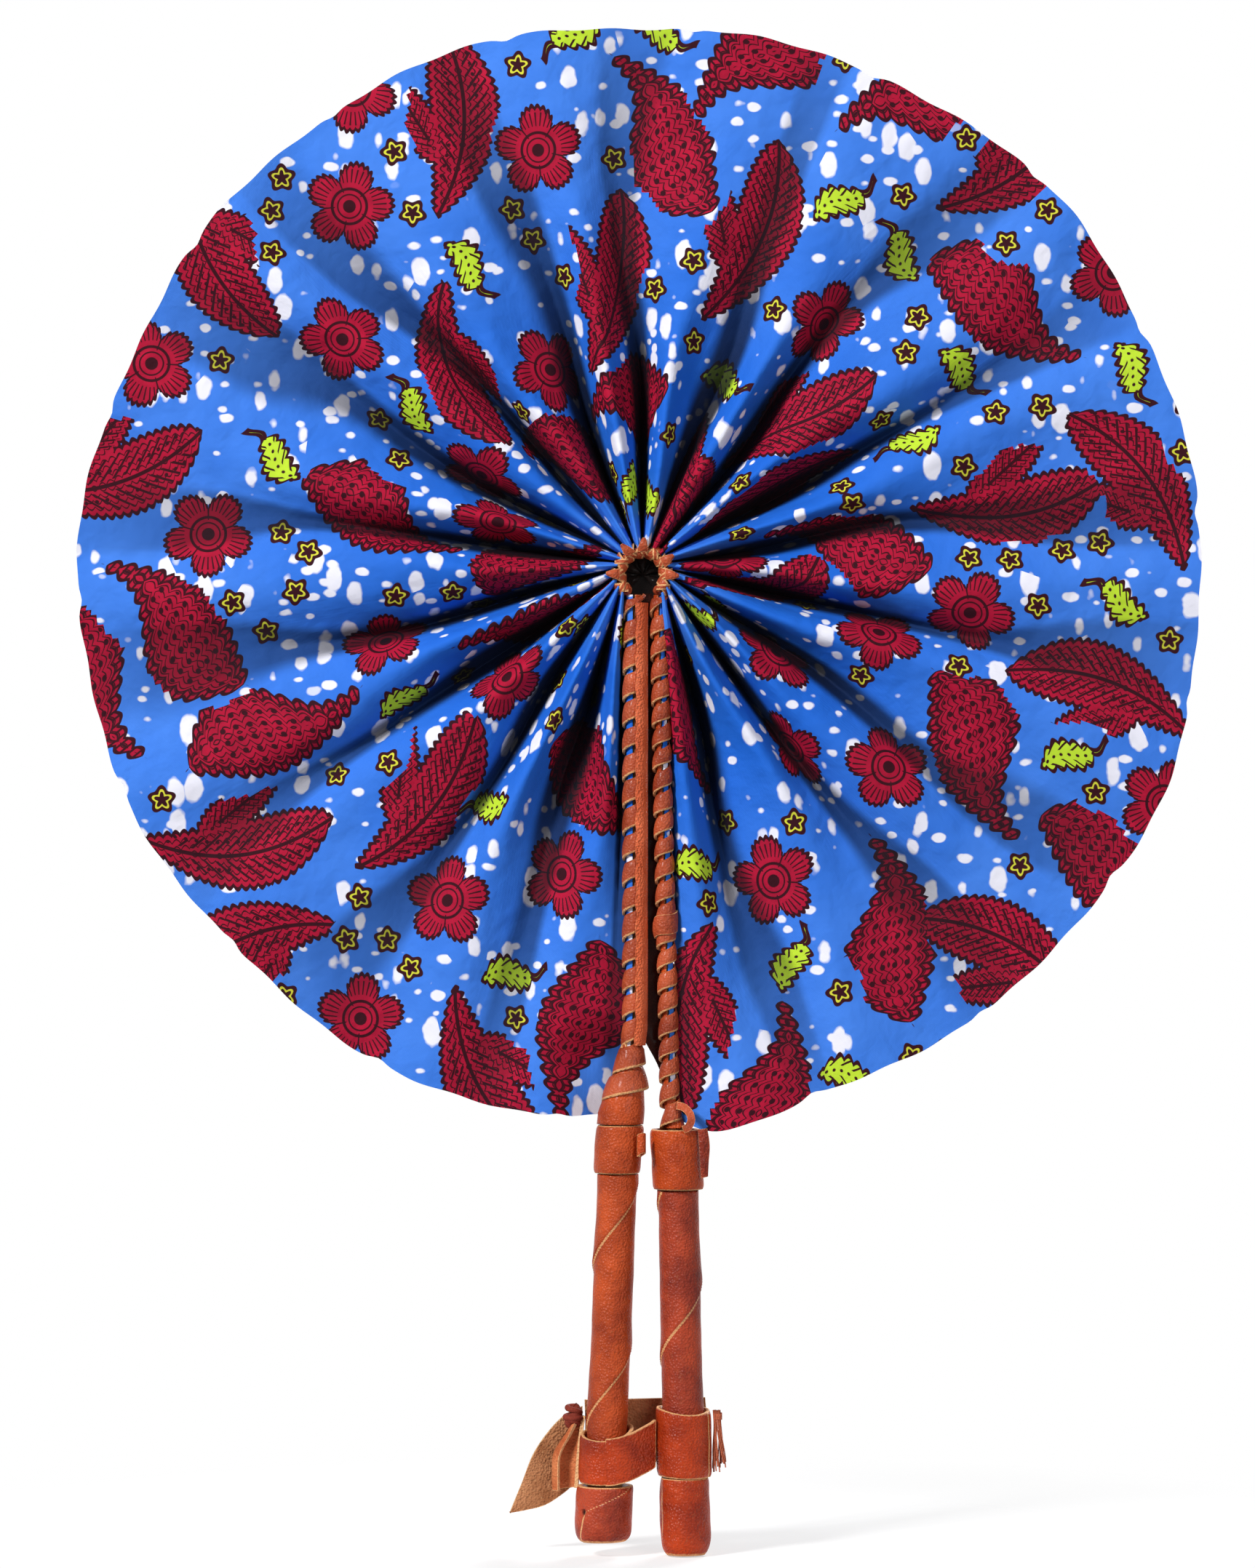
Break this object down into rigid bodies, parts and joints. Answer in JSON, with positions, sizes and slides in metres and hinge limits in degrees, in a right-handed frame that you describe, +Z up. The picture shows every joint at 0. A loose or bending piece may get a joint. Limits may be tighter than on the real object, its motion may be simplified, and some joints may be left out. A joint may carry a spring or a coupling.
{
  "type": "folding hand fan",
  "caption": "Round folding hand fan: a pleated cotton leaf opened to a full disc between two leather-wrapped stick grips, with a leather strap.",
  "frame": {"origin": "middle of the hand's hold, between the two grips, 190 mm below the lacing ring's centre", "axes": "+Z up along the open fan towards the leaf's top, -Y towards the front, X across both grips"},
  "size_m": [0.2779, 0.0215, 0.3775],
  "materials": {
    "waxed_cotton": "matte",
    "wood": "matte",
    "leather_left": "matte",
    "leather_right": "matte",
    "thong": "matte",
    "suede": "matte",
    "strap_leather": "matte",
    "thread": "matte"
  },
  "bodies": {
    "left_stick": {"left_stick_core": "wood", "left_leaf_hem": "waxed_cotton", "left_stick_sleeve": "leather_left", "left_lacing": "thong", "left_throat": "leather_left", "left_facing": "leather_left", "left_collar": "leather_left", "left_collar_curl": "suede", "left_grip_wrap": "leather_left", "left_end_cap": "leather_left"},
    "fold_1": {"leaf_fold_1": "waxed_cotton", "hub_lacing_1": "thong"},
    "fold_2": {"leaf_fold_2": "waxed_cotton", "hub_lacing_2": "thong"},
    "fold_3": {"leaf_fold_3": "waxed_cotton", "hub_lacing_3": "thong"},
    "fold_4": {"leaf_fold_4": "waxed_cotton", "hub_lacing_4": "thong"},
    "fold_5": {"leaf_fold_5": "waxed_cotton", "hub_lacing_5": "thong"},
    "fold_6": {"leaf_fold_6": "waxed_cotton", "hub_lacing_6": "thong"},
    "fold_7": {"leaf_fold_7": "waxed_cotton", "hub_lacing_7": "thong"},
    "fold_8": {"leaf_fold_8": "waxed_cotton", "hub_lacing_8": "thong"},
    "fold_9": {"leaf_fold_9": "waxed_cotton", "hub_lacing_9": "thong"},
    "right_stick": {"right_stick_core": "wood", "right_leaf_hem": "waxed_cotton", "right_stick_sleeve": "leather_right", "right_lacing": "thong", "right_throat": "leather_right", "right_collar": "leather_right", "right_collar_tab": "leather_right", "right_thong_loop": "thong", "right_grip_wrap": "leather_right", "right_end_cap": "leather_right", "right_band": "strap_leather", "right_thread_tuft": "thread"},
    "strap": {"strap_noose": "strap_leather", "strap_arm": "strap_leather", "strap_back_run": "suede", "strap_tail": "suede", "strap_slit_loop": "strap_leather", "strap_knot": "thread"}
  },
  "joints": [
    {"name": "fold_hinge_1", "type": "hinge", "parent": "left_stick", "child": "fold_1", "pos_m": [-0.00389, 0, 0.18611], "axis": [0, -1, 0], "range_deg": [0, 19.48], "deforming": ["leaf_fold_1"]},
    {"name": "fold_hinge_2", "type": "hinge", "parent": "fold_1", "child": "fold_2", "pos_m": [-0.00531, 0, 0.18858], "axis": [0, -1, 0], "range_deg": [0, 39.34], "deforming": ["leaf_fold_2"]},
    {"name": "fold_hinge_3", "type": "hinge", "parent": "fold_2", "child": "fold_3", "pos_m": [-0.00531, 0, 0.19142], "axis": [0, -1, 0], "range_deg": [0, 39.37], "deforming": ["leaf_fold_3"]},
    {"name": "fold_hinge_4", "type": "hinge", "parent": "fold_3", "child": "fold_4", "pos_m": [-0.00389, 0, 0.19389], "axis": [0, -1, 0], "range_deg": [0, 39.39], "deforming": ["leaf_fold_4"]},
    {"name": "fold_hinge_5", "type": "hinge", "parent": "fold_4", "child": "fold_5", "pos_m": [-0.00142, 0, 0.19531], "axis": [0, -1, 0], "range_deg": [0, 39.43], "deforming": ["leaf_fold_5"]},
    {"name": "fold_hinge_6", "type": "hinge", "parent": "fold_5", "child": "fold_6", "pos_m": [0.00142, 0, 0.19531], "axis": [0, -1, 0], "range_deg": [0, 39.43], "deforming": ["leaf_fold_6"]},
    {"name": "fold_hinge_7", "type": "hinge", "parent": "fold_6", "child": "fold_7", "pos_m": [0.00389, 0, 0.19389], "axis": [0, -1, 0], "range_deg": [0, 39.41], "deforming": ["leaf_fold_7"]},
    {"name": "fold_hinge_8", "type": "hinge", "parent": "fold_7", "child": "fold_8", "pos_m": [0.00531, 0, 0.19142], "axis": [0, -1, 0], "range_deg": [0, 39.36], "deforming": ["leaf_fold_8"]},
    {"name": "fold_hinge_9", "type": "hinge", "parent": "fold_8", "child": "fold_9", "pos_m": [0.00531, 0, 0.18858], "axis": [0, -1, 0], "range_deg": [0, 39.39], "deforming": ["leaf_fold_9"]},
    {"name": "fold_hinge_10", "type": "hinge", "parent": "fold_9", "child": "right_stick", "pos_m": [0.00389, 0, 0.18611], "axis": [0, -1, 0], "range_deg": [0, 20.42]},
    {"name": "strap_swing", "type": "hinge", "parent": "left_stick", "child": "strap", "pos_m": [-0.00903, 0, -0.028], "axis": [0.0414, 0, 0.9991], "range_deg": [0, 100]}
  ],
  "couplings": [
    {"joint": "fold_hinge_2", "follows": "fold_hinge_1", "ratio": 2.0194},
    {"joint": "fold_hinge_3", "follows": "fold_hinge_1", "ratio": 2.0208},
    {"joint": "fold_hinge_4", "follows": "fold_hinge_1", "ratio": 2.022},
    {"joint": "fold_hinge_5", "follows": "fold_hinge_1", "ratio": 2.0238},
    {"joint": "fold_hinge_6", "follows": "fold_hinge_1", "ratio": 2.0238},
    {"joint": "fold_hinge_7", "follows": "fold_hinge_1", "ratio": 2.0227},
    {"joint": "fold_hinge_8", "follows": "fold_hinge_1", "ratio": 2.0203},
    {"joint": "fold_hinge_9", "follows": "fold_hinge_1", "ratio": 2.0217},
    {"joint": "fold_hinge_10", "follows": "fold_hinge_1", "ratio": 1.0482}
  ]
}
